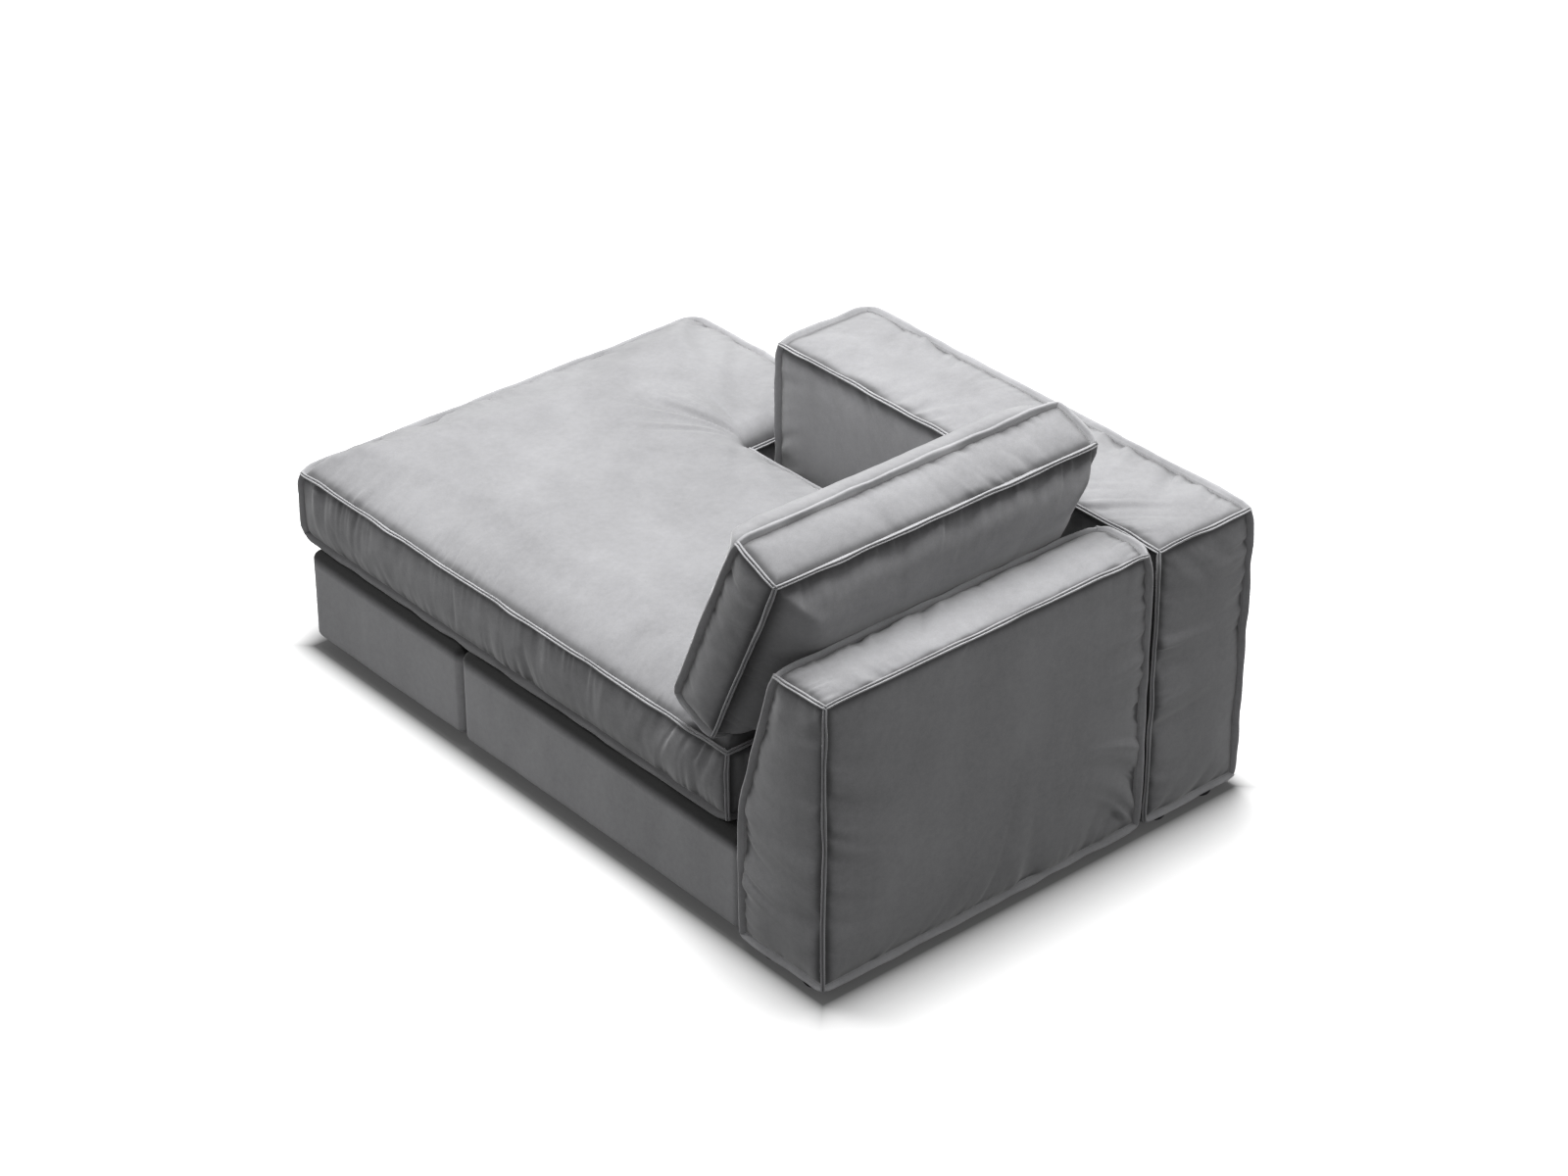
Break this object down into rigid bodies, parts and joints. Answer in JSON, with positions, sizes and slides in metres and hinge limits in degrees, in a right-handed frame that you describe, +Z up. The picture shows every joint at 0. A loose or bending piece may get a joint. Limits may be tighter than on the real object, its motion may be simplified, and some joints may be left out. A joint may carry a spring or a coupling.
{
  "type": "daybed",
  "caption": "Modular daybed with two low base modules, a back panel, a side arm, an L-shaped seat cushion and a loose leaning back cushion in flanged velvet.",
  "frame": {"origin": "on the floor, under the middle of the whole object's box", "axes": "+Z up, +Y towards the head end with the back panel, +X towards the open side, -X towards the side arm"},
  "size_m": [1.1, 1.694, 0.8811],
  "materials": {
    "velvet": "short-pile grey velvet over wadding",
    "foam": "open-cell polyurethane foam",
    "fibre": "white polyester fibre",
    "webbing": "woven elastic webbing",
    "dust_cloth": "black non-woven dust cloth",
    "softwood": "planed pine",
    "plywood": "birch plywood",
    "hardboard": "pressed hardboard",
    "black_plastic": "moulded black plastic",
    "zip_tape": "woven grey zip tape with a moulded chain",
    "zip_metal": "dark plated metal",
    "zinc_steel": "zinc-plated steel"
  },
  "bodies": {
    "frame": {"foot_base_cover": "velvet", "foot_base_foam": "foam", "foot_base_side_rails": "softwood", "foot_base_end_rails": "softwood", "foot_base_centre_rail": "softwood", "foot_base_corner_blocks": "softwood", "foot_base_long_webbing": "webbing", "foot_base_cross_webbing": "webbing", "foot_base_dust_cover": "dust_cloth", "head_base_cover": "velvet", "head_base_foam": "foam", "head_base_side_rails": "softwood", "head_base_end_rails": "softwood", "head_base_centre_rail": "softwood", "head_base_corner_blocks": "softwood", "head_base_long_webbing": "webbing", "head_base_cross_webbing": "webbing", "head_base_dust_cover": "dust_cloth", "back_panel_cover": "velvet", "back_panel_foam": "foam", "back_panel_end_ribs": "plywood", "back_panel_middle_rib": "plywood", "back_panel_rails": "softwood", "back_panel_side_boards": "hardboard", "back_panel_top_board": "hardboard", "back_panel_dust_cover": "dust_cloth", "side_arm_cover": "velvet", "side_arm_foam": "foam", "side_arm_end_ribs": "plywood", "side_arm_middle_rib": "plywood", "side_arm_rails": "softwood", "side_arm_side_boards": "hardboard", "side_arm_top_board": "hardboard", "side_arm_dust_cover": "dust_cloth", "feet": "black_plastic", "foot_screws": "zinc_steel", "panel_bolts": "zinc_steel", "base_bolts": "zinc_steel", "bolt_washers": "zinc_steel", "bolt_nuts": "zinc_steel"},
    "seat_cushion": {"seat_cushion_cover": "velvet", "seat_cushion_core": "foam", "seat_cushion_topper": "fibre", "seat_zip_tape": "zip_tape"},
    "seat_zip_slider": {"seat_zip_slider": "zip_metal"},
    "back_cushion": {"back_cushion_cover": "velvet", "back_cushion_core": "foam", "back_cushion_wrap": "fibre", "back_zip_tape": "zip_tape"},
    "back_zip_slider": {"back_zip_slider": "zip_metal"}
  },
  "joints": [
    {"name": "seat_cushion_lift", "type": "slide", "parent": "frame", "child": "seat_cushion", "axis": [0, 0, 1], "range_m": [0, 0.45]},
    {"name": "back_cushion_lift", "type": "slide", "parent": "seat_cushion", "child": "back_cushion", "axis": [0, 0, 1], "range_m": [0, 0.3]},
    {"name": "seat_zip", "type": "slide", "parent": "seat_cushion", "child": "seat_zip_slider", "axis": [0, 1, 0], "range_m": [0, 0.6]},
    {"name": "back_zip", "type": "slide", "parent": "back_cushion", "child": "back_zip_slider", "axis": [1, 0, 0], "range_m": [0, 0.6]}
  ]
}
